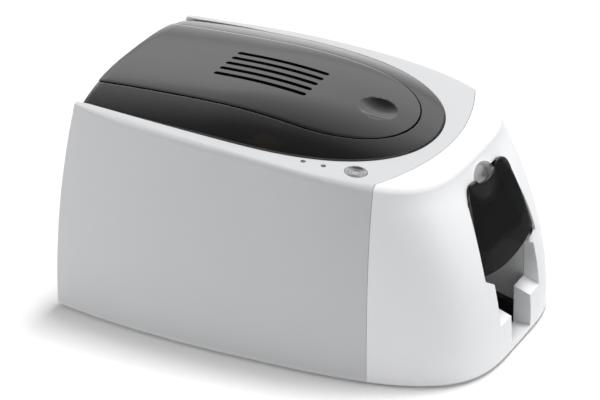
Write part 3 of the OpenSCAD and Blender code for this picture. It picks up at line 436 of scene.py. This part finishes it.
# %% Finishes: one for each slot of the record
FINISHES = {
    "shell_white": plastic("shell_white", (0.865, 0.87, 0.885), 0.46, 0.7, 0.012, 0.012),
    # rear_white is the case's white made darker: painted shade, so that the rear part reads greyer
    # than the fascia
    "rear_white": plastic("rear_white", (0.59, 0.595, 0.605), 0.5, 0.7, 0.014, 0.012),
    "smoke_gloss": smoke("smoke_gloss", (0.006, 0.0062, 0.0066), 0.08),
    "panel_gloss": plastic("panel_gloss", (0.007, 0.0072, 0.0076), 0.09, 30, 0.012, 0.1),
    "pan_grey": plastic("pan_grey", (0.62, 0.625, 0.63), 0.55, 0.8, 0.02),
    # bin_grey is a light grey for the tray bay's walls, which are white plastic in shade, so there the
    # grey is painted shade; the finger well's cup uses it too
    "bin_grey": plastic("bin_grey", (0.74, 0.745, 0.75), 0.35, 0.8, 0.015),
    "inner_black": plastic("inner_black", (0.018, 0.018, 0.019), 0.5, 0.8, 0.03),
    "foot_rubber": plastic("foot_rubber", (0.03, 0.03, 0.032), 0.8, 0.5, 0.05),
    "roller_rubber": plastic("roller_rubber", (0.045, 0.045, 0.05), 0.7, 0.4, 0.04),
    "gear_nylon": plastic("gear_nylon", (0.72, 0.70, 0.62), 0.4, 0.5, 0.01),
    "board_green": plastic("board_green", (0.02, 0.13, 0.06), 0.35, 3.0, 0.02, 0.2),
    "light_clear": plastic("light_clear", (0.04, 0.042, 0.045), 0.18, 0.5, 0.004),
    "slider_blue": plastic("slider_blue", (0.03, 0.14, 0.42), 0.4),
    "ribbon_dark": plastic("ribbon_dark", (0.02, 0.018, 0.03), 0.3, 0.3, 0.01),
    "ribbon_gold": plastic("ribbon_gold", (0.42, 0.28, 0.06), 0.3, 0.3, 0.01),
    "cleaner_blue": plastic("cleaner_blue", (0.10, 0.35, 0.62), 0.6, 0.3, 0.02),
    "sheet_steel": metal("sheet_steel", (0.62, 0.63, 0.64), 0.35, 1.0, (30, 1, 30)),
    "turned_steel": metal("turned_steel", (0.68, 0.68, 0.69), 0.2, 0.4, (30, 1, 1)),
    "bearing_bronze": metal("bearing_bronze", (0.55, 0.38, 0.18), 0.35, 0.4, (1, 1, 1)),
    "pinion_brass": metal("pinion_brass", (0.75, 0.56, 0.24), 0.25, 0.4, (1, 1, 1)),
    "motor_metal": metal("motor_metal", (0.45, 0.46, 0.47), 0.4, 0.8, (1, 20, 20)),
    "port_metal": metal("port_metal", (0.6, 0.6, 0.61), 0.3, 0.4, (1, 1, 1)),
    "button_silver": metal("button_silver", (0.5, 0.5, 0.51), 0.34, 0.3, (1, 1, 1)),
    "head_metal": metal("head_metal", (0.30, 0.31, 0.33), 0.3, 0.8, (1, 20, 20)),
}
FINISHES["panel_gloss"].node_tree.nodes["Principled BSDF"].inputs["IOR"].default_value = 1.585
for name in ("shell_white", "rear_white"):
    FINISHES[name].node_tree.nodes["Principled BSDF"].inputs["Specular IOR Level"].default_value = 0.25
for part in frame["record"]["subparts"]:
    carried = frame["nodes"][part["node"]]
    carried.data.materials.clear()
    carried.data.materials.append(FINISHES[part["material_slot"]])
print(len(FINISHES), "finishes, one for each slot")

# %% [markdown]
# ## Housing skin
# The case is moulded as one look in two parts, with a thin wall. Both parts come from the same
# closed double skin: up the outside, over the rounded shoulder to the lid's opening, and back
# down the inside. It is cut along the seam, which bows forward on the roof.

# %% Housing skin: rings from the foot to the lid's opening
SHOULDER, REAR_EDGE, WALL_ROWS, ROUND_ROWS, DECK_ROWS = 7.0, 1.5, 14, 8, 3


def shoulder(kind, q):
    """Radius of the shoulder: crisp at the rear wall, and rounder forward along the sides."""
    if kind == "side":
        share = min(1, (1 - q) / 0.3)
        return REAR_EDGE + (SHOULDER - REAR_EDGE) * share * share * (3 - 2 * share)
    return SHOULDER if kind == "nose" else REAR_EDGE


def wall_place(kind, q, share, drop, inset):
    z = share * 180
    for _ in range(4):
        x, y = case_point(kind, q, z, inset)
        z = share * (roof_z(y) - drop)
    x, y = case_point(kind, q, z, inset)
    return x, y, z


def shell_ring(row, station, inset):
    """One place on the skin: wall rows first, then the shoulder's arc, then the flat deck."""
    kind, q = station
    radius = max(0.3, shoulder(kind, q) - inset)
    if row < WALL_ROWS:
        return wall_place(kind, q, row / WALL_ROWS, inset + radius, inset)
    rim = wall_place(kind, q, 1, inset + radius, inset)
    edge = lid_point(kind, q, -LID_GAP)
    run = math.hypot(edge[0] - rim[0], edge[1] - rim[1])
    radius = min(radius, run * 0.6)
    if row <= WALL_ROWS + ROUND_ROWS:
        turn = (row - WALL_ROWS) / ROUND_ROWS * math.pi / 2
        step, rise = radius * (1 - math.cos(turn)), -radius + radius * math.sin(turn)
    else:
        share = (row - WALL_ROWS - ROUND_ROWS) / DECK_ROWS
        step, rise = radius + (run - radius) * share, 0
    x, y = (r + (e - r) * step / run for r, e in zip(rim, edge))
    return x, y, roof_z(y) - inset + rise


def ring_of(row, inset):
    return both_sides([shell_ring(row, s, inset) for s in STATIONS])


TOP_ROW = WALL_ROWS + ROUND_ROWS + DECK_ROWS
outer_rings = [ring_of(row, 0) for row in range(TOP_ROW + 1)]
inner_rings = [ring_of(row, WALL) for row in range(TOP_ROW + 1)]
print(len(outer_rings), "rings of", len(outer_rings[0]), "places")

# %% Housing skin: closed shapes from rings
def ringed(name, rings, closed):
    """A solid through rings: a closed tube whose last ring meets the first, or capped."""
    rings = rings + [rings[0]] if closed else rings
    count = len(rings[0])
    bm = bmesh.new()
    skin(bm, count, len(rings) - 1, lambda column, row: rings[row][column % count])
    close_up(bm, cap=not closed)
    return new_piece(name, bm)


SEAM_Y, SEAM_BOW, SEAM_HALF, FAR = -105, 21.5, 99, 300


def seam_block(name, gap, low):
    """Everything behind the seam, as a block to cut with."""
    curve = [(x, SEAM_Y + gap - SEAM_BOW * (1 - (x / SEAM_HALF) ** 2))
             for x in [SEAM_HALF * k / 40 for k in range(-40, 41)]]
    return pulled(name, curve + [(FAR, SEAM_Y + gap), (FAR, 500), (-FAR, 500),
                                 (-FAR, SEAM_Y + gap)], "z", low, 500)


rear_shell = ringed("rear_shell", outer_rings + inner_rings[::-1], True)
combine(rear_shell, "INTERSECT", seam_block("seam", 0, 3))
print("rear shell:", len(rear_shell.data.polygons), "faces")

# %% Housing skin: cuts in the rear part
BUTTON = (-89.5, -83.5)
LIGHTS = [(-96, -57.5), (-98.5, -40.5)]
INLET = (-42, 185, 18)
BUTTON_R, LIGHT_R, INLET_R = 9.6, 2.25, 5.5
deck_lean = math.atan(2 * ROOF_FALL * (REAR_Y - BUTTON[1]) / CASE_LEN ** 2)
deck_turn = Matrix.Rotation(deck_lean, 4, "X")
lengthwise = Matrix.Rotation(math.pi / 2, 4, "X")
upright = Matrix.Identity(4)
combine(
    rear_shell, "DIFFERENCE",
    block("hinge_way", (-96.4, 159.5, 181.5), (96.4, 199.5, 240)),
    drum("button_way", (*BUTTON, roof_z(BUTTON[1])), deck_turn, BUTTON_R, 20),
    *[drum("light_way", (x, y, 180), upright, LIGHT_R, 60, 32) for x, y in LIGHTS],
    drum("inlet_way", INLET, lengthwise, INLET_R, 60, 32),
    block("socket_way", (-21, 150, 11.5), (-7, 210, 24.5)))
# the rear part is the same white plastic as the fascia, and its darker finish is painted shade
dress(rear_shell, "case", "rear_white", "rear_housing")

# %% [markdown]
# ## Front fascia
# The fascia is the same skin in front of the seam. Blocks are kept inside it where the tray's
# front wall and the door's jambs are moulded on, then the door and tray openings and the
# finger scoop are cut.

# %% Front fascia: door outline
DOOR_LOW, DOOR_HIGH, DOOR_Z0, DOOR_Z1 = 51.4, 40.8, 81.5, 150.6
DOOR_RISE, DOOR_CORNER, DOOR_SAG, NOTCH_HALF, NOTCH_DEEP = 15.0, 13.5, 6.3, 20.5, 6.0


def door_half(z):
    f = min(1, (z - DOOR_Z0) / (DOOR_Z1 - DOOR_RISE - DOOR_Z0))
    return DOOR_LOW + (DOOR_HIGH - DOOR_LOW) * (0.45 * f + 0.55 * f * f)


def door_side(gap):
    """Right edge of the door from its lower corner up to the top of its round corner."""
    straight = [(door_half(z) + gap, z)
                for z in [DOOR_Z0 + k / 12 * (DOOR_Z1 - DOOR_RISE - DOOR_Z0)
                          for k in range(13)]]
    turns = [math.radians(90 * k / 12) for k in range(1, 13)]
    return straight + [(DOOR_HIGH - DOOR_CORNER + (DOOR_CORNER + gap) * math.cos(t),
                        DOOR_Z1 - DOOR_RISE + (DOOR_RISE + gap) * math.sin(t))
                       for t in turns]


print("door edge has", len(door_side(0)), "places")

# %% Front fascia: inner room, kept blocks and openings
BAY_HALF, JAMB, NOTCH_X, BAY_IN, BAY_FLOOR = 41, 3, 20, 38.5, 4
BAY_FRONT, BAY_BACK, LEDGE = -212.5, -176.5, 76.5
MOUTH_FRONT = -222.5
SCOOP_Z, SCOOP_WIDE, SCOOP_TALL, SCOOP_LEAN = 142.5, 21.0, 16.2, 28.5
scoop_turn = Matrix.Rotation(math.radians(90 - SCOOP_LEAN), 4, "X")


def well(name, grow, low, high, taper=0.0):
    """An oval plug square to the nose, between two depths measured out from its surface."""
    shape = (Matrix.Translation(at(0, nose_y(SCOOP_Z), SCOOP_Z)) @ scoop_turn
             @ Matrix.Diagonal((SCOOP_WIDE + grow, SCOOP_TALL + grow, 1, 1))
             @ Matrix.Translation((0, 0, (low + high) / 2 * MM)))
    bm = bmesh.new()
    bmesh.ops.create_cone(bm, cap_ends=True, segments=64, radius1=(1 - taper) * MM,
                          radius2=MM, depth=(high - low) * MM, matrix=shape)
    return new_piece(name, bm)


def pair_of_blocks(name, out, low, high):
    """A left and a right block inside the nose, from the bay's side walls outwards."""
    return [block(name, (min(s * BAY_HALF, s * out), BAY_FRONT, low),
                  (max(s * BAY_HALF, s * out), BAY_BACK, high)) for s in (-1, 1)]


fascia = ringed("fascia", outer_rings + [[(x, y, 96) for x, y, z in outer_rings[-1]]], False)
room = ringed("room", [[(x, y, -1) for x, y, z in inner_rings[0]]] + inner_rings
              + [[(x * 0.98, y * 0.98, 91) for x, y, z in outer_rings[-1]]], False)
combine(
    room, "DIFFERENCE",
    block("keep_wall", (-BAY_HALF - JAMB, BAY_FRONT, -0.5), (BAY_HALF + JAMB, BAY_BACK, BAY_IN)),
    *pair_of_blocks("keep_jamb", BAY_HALF + JAMB, 0, LEDGE),
    *pair_of_blocks("keep_ledge", DOOR_LOW + JAMB, 70, 73.5),
    well("keep_rim", 2.5, -4.5, 9.5))
print("room:", len(room.data.polygons), "faces")

# %% Front fascia: cut it out
OVERLAY_Z, OVERLAY = 139.5, -1.6
edge = [p for p in door_side(0.7) if p[1] < OVERLAY_Z]
edge += [p for p in door_side(OVERLAY) if p[1] > OVERLAY_Z]
sill = [(BAY_HALF, 40.5), (BAY_HALF, 70.5), (52.1, 77.5)]
mouth = edge + [(-x, z) for x, z in reversed(edge)] + [(-x, z) for x, z in reversed(sill)] + sill
combine(
    fascia, "DIFFERENCE", room, seam_block("seam", -0.4, -10),
    pulled("mouth", mouth, "y", MOUTH_FRONT, 30 + nose_y(DOOR_Z1) - FRONT_Y + WALL + 4),
    block("tray_notch", (-NOTCH_X, MOUTH_FRONT, BAY_FLOOR), (NOTCH_X, -160.5, 42.5)),
    pulled("tray_top", [(-202.5, 28), (-175.5, BAY_IN), (-175.5, 42.5), (-202.5, 42.5)],
           "x", -BAY_HALF, 2 * BAY_HALF),
    well("well_way", 0, -12, 9.5, 0.12))
dress(fascia, "case", "shell_white", "front_fascia")

# %% [markdown]
# ## Finger well
# Behind the door's notch a light grey cup lets a fingertip reach round the door's edge. It has the
# same light grey finish as the tray bay's walls, darker than the case white, and a finer gloss than
# the case.

# %% Finger well
well_cup = well("well_cup", 2.2, -9.4, -2.7)
combine(well_cup, "DIFFERENCE", well("hollow", 0, -7.6, 9.5, 0.12))
dress(well_cup, "case", "bin_grey")

# %% [markdown]
# ## Lid cover
# The smoked cover is a shell that runs from the opening's edge up to the groove round the
# centre panel. Its section is drawn once, with a rounded outer rim, and carried round the egg
# from one rear corner to the other.

# %% Lid cover
PANEL_HALF, PANEL_NOSE, PANEL_BELLY = 65.0, -93.0, -9.5
LID_T, GROOVE = 2.5, 1.0
LID_STATIONS = [s for s in STATIONS if s[0] in ("side", "nose")]
LID_STATIONS = [("side", 1.0)] + LID_STATIONS


def panel_point(kind, q, inset):
    return egg(PANEL_HALF - inset, 0, LID_REAR, PANEL_BELLY, PANEL_NOSE + inset, 2.1, 2.3,
               kind, q)


COVER_STEPS = 14


def cover_place(station, step, drop):
    outer, inner = lid_point(*station, 0), panel_point(*station, -GROOVE)
    if station == ("side", 1.0):
        outer = (LID_HALF - LID_TAPER, LID_REAR)
    share = step / COVER_STEPS
    x, y = (a + (b - a) * share for a, b in zip(outer, inner))
    return x, bowed_y(x, y), lid_z(x, y) - drop


def cover_section(station):
    over = [cover_place(station, k, 0) for k in range(COVER_STEPS + 1)]
    under = [cover_place(station, k, LID_T) for k in range(COVER_STEPS, -1, -1)]
    return over + under + over[:1]


half = [cover_section(s) for s in LID_STATIONS]
sections = half + [[(-x, y, z) for x, y, z in row] for row in reversed(half[:-1])]
bm = bmesh.new()
skin(bm, len(sections) - 1, len(sections[0]) - 1, lambda column, row: sections[column][row])
close_up(bm, cap=True)
lid_cover = new_piece("lid_shell", bm)
round_rims(lid_cover, 0.9, 4)
dress(lid_cover, "lid", "smoke_gloss", "lid_cover")

# %% [markdown]
# ## Lid rear strip
# A thin strip closes the lid's rear edge between its end wall and the raised cover, so that
# dust stays out when the lid is shut.

# %% Lid rear strip
STRIP_HALF, STRIP_T, STRIP_DEEP = 90.5, 1.8, 6.5
over = [(x, lid_z(x, LID_REAR) - LID_T + 0.3)
        for x in [STRIP_HALF * k / 24 for k in range(-24, 25)]]
strip = pulled("rear_strip", over + [(x, z - STRIP_DEEP) for x, z in reversed(over)],
               "y", LID_REAR - STRIP_T, STRIP_T - 0.1)
dress(strip, "lid", "inner_black")

# %% [markdown]
# ## Centre panel
# The panel stands a little proud of the cover. Its five cooling slots and the thumb dish are
# cut into the finished shell, so that their edges stay crisp.

# %% Centre panel
PANEL_RAISE, ACROSS = 0.4, 40


def panel_place(station, column, drop):
    x, y = panel_point(*station, 0)
    x = max(x, 3.0) * (1 - 2 * column / ACROSS)
    return x, bowed_y(x, y), lid_z(x, y) + PANEL_RAISE - drop


bm = bmesh.new()
rows = len(LID_STATIONS) - 1
for drop in (0, LID_T):
    skin(bm, ACROSS, rows, lambda column, row: panel_place(LID_STATIONS[row], column, drop))
rims = [e for e in bm.edges if e.is_boundary]
bmesh.ops.bridge_loops(bm, edges=rims)
close_up(bm)
lid_panel = new_piece("panel_shell", bm)
round_rims(lid_panel, 0.45, 3)

# %% Centre panel: cooling slots and thumb dish
SLOTS, SLOT_PITCH, SLOT_HALF, SLOT_FRONT, SLOT_REAR = 5, 10.9, 2.6, -2.8, 77.8


def slot_outline(x):
    turns = [math.pi * k / 12 for k in range(13)]
    return ([(x + SLOT_HALF * math.cos(t), SLOT_REAR + SLOT_HALF * math.sin(t)) for t in turns]
            + [(x - SLOT_HALF * math.cos(t), SLOT_FRONT - SLOT_HALF * math.sin(t))
               for t in turns])


DISH_Y, DISH_R, DISH_DEEP, BOSS = -61.4, 17.0, 3.2, 2.8
ball = (DISH_R ** 2 + DISH_DEEP ** 2) / (2 * DISH_DEEP)
slope = math.atan(2 * NOSE_FALL * (CREST_Y - DISH_Y) / (CREST_Y - LID_NOSE) ** 2)
up = Vector((0, -math.sin(slope), math.cos(slope)))
top = at(0, DISH_Y, lid_z(0, DISH_Y) + PANEL_RAISE)
bm = bmesh.new()
bmesh.ops.create_uvsphere(bm, u_segments=192, v_segments=96, radius=ball * MM,
                          matrix=Matrix.Translation(top + up * (ball - DISH_DEEP) * MM))
dish = new_piece("dish", bm)
bm = bmesh.new()
bmesh.ops.create_cone(bm, cap_ends=True, segments=64, radius1=DISH_R * 0.8 * MM,
                      radius2=DISH_R * 1.1 * MM, depth=BOSS * MM,
                      matrix=Matrix.Translation(top - up * (LID_T - 1 + BOSS / 2) * MM)
                      @ Matrix.Rotation(slope, 4, "X"))
combine(lid_panel, "UNION", new_piece("boss", bm))
combine(lid_panel, "DIFFERENCE", dish, *[
    pulled("slot", slot_outline(SLOT_PITCH * (k - SLOTS // 2)), "z", 150, 80)
    for k in range(SLOTS)])
dress(lid_panel, "lid", "panel_gloss", "lid_panel")

# %% [markdown]
# ## Feeder door
# The door is a thin smoked sheet that leaves the nose at its top and lies behind it at the
# bottom. It is narrower at the top, with a round finger notch, and sags at its lower edge.

# %% Feeder door
DOOR_T, DOOR_INSET, DOOR_BULGE = 2.2, 1.8, 5.0


def door_front(x, z):
    f = max(0, (z - DOOR_Z0) / (DOOR_Z1 - DOOR_Z0))
    return nose_at(x, z) + DOOR_INSET - (DOOR_BULGE + DOOR_INSET) * f * f


def door_top(x):
    a, flat = abs(x), DOOR_HIGH - DOOR_CORNER
    if a < NOTCH_HALF:
        return DOOR_Z1 - NOTCH_DEEP * math.sqrt(1 - (a / NOTCH_HALF) ** 2)
    if a < flat:
        return DOOR_Z1
    return DOOR_Z1 - DOOR_RISE * (1 - math.sqrt(max(0, 1 - ((a - flat) / DOOR_CORNER) ** 2)))


flat = DOOR_HIGH - DOOR_CORNER
half_columns = ([NOTCH_HALF * math.sin(math.pi / 2 * k / 18) for k in range(19)]
                + [NOTCH_HALF + (flat - NOTCH_HALF) * k / 4 for k in range(1, 4)]
                + [flat + DOOR_CORNER * math.sin(math.pi / 2 * k / 12) for k in range(13)])
door_columns = [-x for x in reversed(half_columns[1:])] + half_columns
DOOR_ROWS = 24


def door_place(column, row, depth):
    f = door_columns[column] / DOOR_HIGH
    low, high = DOOR_Z0 - DOOR_SAG * (1 - f * f), door_top(f * DOOR_HIGH)
    z = low + row / DOOR_ROWS * (high - low)
    x = f * door_half(max(z, DOOR_Z0))
    return x, door_front(x, z) + depth, z

# %% Feeder door: the sheet
bm = bmesh.new()
for depth in (0, DOOR_T):
    skin(bm, len(door_columns) - 1, DOOR_ROWS,
         lambda column, row: door_place(column, row, depth))
bmesh.ops.bridge_loops(bm, edges=[e for e in bm.edges if e.is_boundary])
close_up(bm)
door = new_piece("door_sheet", bm)
round_rims(door, 0.45, 3)
dress(door, "door", "smoke_gloss", "feeder_door")

# %% [markdown]
# ## Power button
# The button is a turned cap, a little dished for the fingertip, with two fine rings that catch
# the light. It is drawn as half a section and spun round its own axis.

# %% Power button
SECTION = [(0, -1.3), (3.2, -1.15), (3.6, -1.45), (4.1, -1.0), (5.9, -0.65), (6.3, -0.95),
           (6.8, -0.45), (8.3, 0.2), (8.9, 0.3), (9.2, 0.0), (9.2, -5.5), (0, -5.5)]
bm = bmesh.new()
corners = [bm.verts.new((r * MM, 0, z * MM)) for r, z in SECTION]
for first, second in zip(corners, corners[1:]):
    bm.edges.new((first, second))
bmesh.ops.spin(bm, geom=bm.verts[:] + bm.edges[:], cent=(0, 0, 0), axis=(0, 0, 1),
               angle=2 * math.pi, steps=64, use_merge=True)
close_up(bm)
bmesh.ops.transform(bm, verts=bm.verts, matrix=Matrix.Translation(
    at(*BUTTON, roof_z(BUTTON[1]))) @ deck_turn)
button = new_piece("button_cap", bm)
dress(button, "button", "button_silver", "power_button")

# %% [markdown]
# ## Studio paper
# The machine stands on a wide sheet of matt white paper. To the camera the paper is pure white
# where it is well lit, and it still darkens under the machine. To everything else it is a
# shade darker, so that it does not light the sides of the case too much.

# %% Studio: floor
bm = bmesh.new()
bmesh.ops.create_grid(bm, x_segments=1, y_segments=1, size=6)
floor = new_piece("floor", bm)
floor.visible_glossy = False
paper = bpy.data.materials.new("paper")
paper.use_nodes = True
tree = paper.node_tree
tree.nodes.clear()
out = tree.nodes.new("ShaderNodeOutputMaterial")
matt = tree.nodes.new("ShaderNodeBsdfDiffuse")
path = tree.nodes.new("ShaderNodeLightPath")
PAPER, PAPER_SEEN = (0.76, 0.76, 0.77), (0.98, 0.98, 0.98)
tree.links.new(mix_colours(tree, path.outputs["Is Camera Ray"], PAPER, PAPER_SEEN),
               matt.inputs["Color"])
tree.links.new(matt.outputs[0], out.inputs["Surface"])
floor.data.materials.append(paper)
print("floor laid, seen as", PAPER_SEEN[0], "and bouncing", PAPER[0])

# %% [markdown]
# ## Lamps and the black cards
# Three soft lamps do the lighting: a small one high above and to the right, which draws the
# shadow, a broad one in front of the nose, and a weak one low behind the left side. They are
# hidden from reflections. Two black cards, one beside the nose and one on the floor, are seen
# by reflections only, and turn the gloss of the feeder door black.

# %% Studio: lamps and the black cards
def aim(made, place, target):
    made.location = place
    made.rotation_mode = "QUATERNION"
    made.rotation_quaternion = (Vector(target) - Vector(place)).to_track_quat("-Z", "Y")


def lamp(name, place, size, power):
    data = bpy.data.lights.new(name, "AREA")
    data.shape, data.size, data.size_y, data.energy = "RECTANGLE", size[0], size[1], power
    made = bpy.data.objects.new(name, data)
    bpy.context.scene.collection.objects.link(made)
    aim(made, place, (0, 0, 0.1))
    made.visible_glossy = False


LAMPS = [("overhead", (0.38, -0.15, 2.15), (0.6, 0.6), 37),
         ("front", (0.15, -2.6, 0.8), (1.6, 1.2), 21),
         ("rear_left", (-1.1, 1.5, 0.4), (0.9, 0.6), 13)]
for name, place, size, power in LAMPS:
    lamp(name, place, size, power)
print(len(LAMPS), "lamps")

# %% Studio: the black cards
def card_sheet(name, half_width, half_length, place):
    bm = bmesh.new()
    bmesh.ops.create_grid(bm, x_segments=1, y_segments=1, size=1,
                          matrix=Matrix.Translation(place)
                          @ Matrix.Diagonal((half_width, half_length, 1, 1)))
    return new_piece(name, bm)


card = card_sheet("black_card", 0.36, 0.19, (0, 0, 0))
aim(card, (0.34, -0.42, 0.17), (0, -0.17, 0.115))
floor_card = card_sheet("black_floor_card", 0.25, 0.30, (0.27, -0.52, 0.001))
black = bpy.data.materials.new("black_paper")
black.use_nodes = True
shader = black.node_tree.nodes["Principled BSDF"]
shader.inputs["Base Color"].default_value = (0.12, 0.12, 0.12, 1)
shader.inputs["Specular IOR Level"].default_value = 0
for each in (card, floor_card):
    each.visible_camera = each.visible_diffuse = each.visible_shadow = False
    each.visible_transmission = each.visible_volume_scatter = False
    each.data.materials.append(black)
print("two black cards, seen by reflections only")

# %% [markdown]
# ## Surroundings
# Gloss shows what surrounds it. Here that is a white room that is bright at the floor and at
# the height of a window, and dark at the ceiling. That gives the smoked lid its bright far side
# and its black near rim. The camera itself sees plain white, and matt surfaces get a weak even
# glow.

# %% Studio: surroundings
ROOM = [(0.0, 0.98), (0.10, 0.80), (0.28, 0.58), (0.35, 0.80), (0.50, 0.94), (0.55, 0.94),
        (0.60, 0.70), (0.65, 0.58), (0.71, 0.48), (0.81, 0.26), (0.87, 0.12), (0.92, 0.08),
        (1.0, 0.04)]
ROOM_TOP, GLOW = 1.5, 0.32
world = bpy.data.worlds.new("studio")
bpy.context.scene.world = world
world.use_nodes = True
tree = world.node_tree
sky = tree.nodes["Background"]
sky.inputs["Color"].default_value = (1, 1, 1, 1)
way = tree.nodes.new("ShaderNodeTexCoord")
split = tree.nodes.new("ShaderNodeSeparateXYZ")
tree.links.new(way.outputs["Generated"], split.inputs[0])
ramp = tree.nodes.new("ShaderNodeValToRGB")
for _ in ROOM[2:]:
    ramp.color_ramp.elements.new(0.5)
for stop, (height, share) in zip(ramp.color_ramp.elements, ROOM):
    stop.position, stop.color = height, (share, share, share, 1)
tree.links.new(split.outputs["Z"], ramp.inputs[0])
room = tree.nodes.new("ShaderNodeMath")
room.operation, room.inputs[1].default_value = "MULTIPLY", ROOM_TOP
tree.links.new(ramp.outputs["Color"], room.inputs[0])
path = tree.nodes.new("ShaderNodeLightPath")

# %% Studio: what each kind of ray sees
def pick(share, low, high):
    """A number that is low where share is 0 and high where it is 1."""
    node = tree.nodes.new("ShaderNodeMapRange")
    tree.links.new(share, node.inputs["Value"])
    for socket, value in (("To Min", low), ("To Max", high)):
        if isinstance(value, float):
            node.inputs[socket].default_value = value
        else:
            tree.links.new(value, node.inputs[socket])
    return node.outputs["Result"]


level = pick(path.outputs["Is Glossy Ray"], GLOW, room.outputs[0])
level = pick(path.outputs["Is Transmission Ray"], level, 1.0)
level = pick(path.outputs["Is Camera Ray"], level, 1.0)
tree.links.new(level, sky.inputs["Strength"])
bpy.context.scene.view_settings.view_transform = "Standard"
print("room has", len(ROOM), "levels, from", ROOM[0][1] * ROOM_TOP, "at the floor")

# %% Finish
bpy.context.view_layer.update()
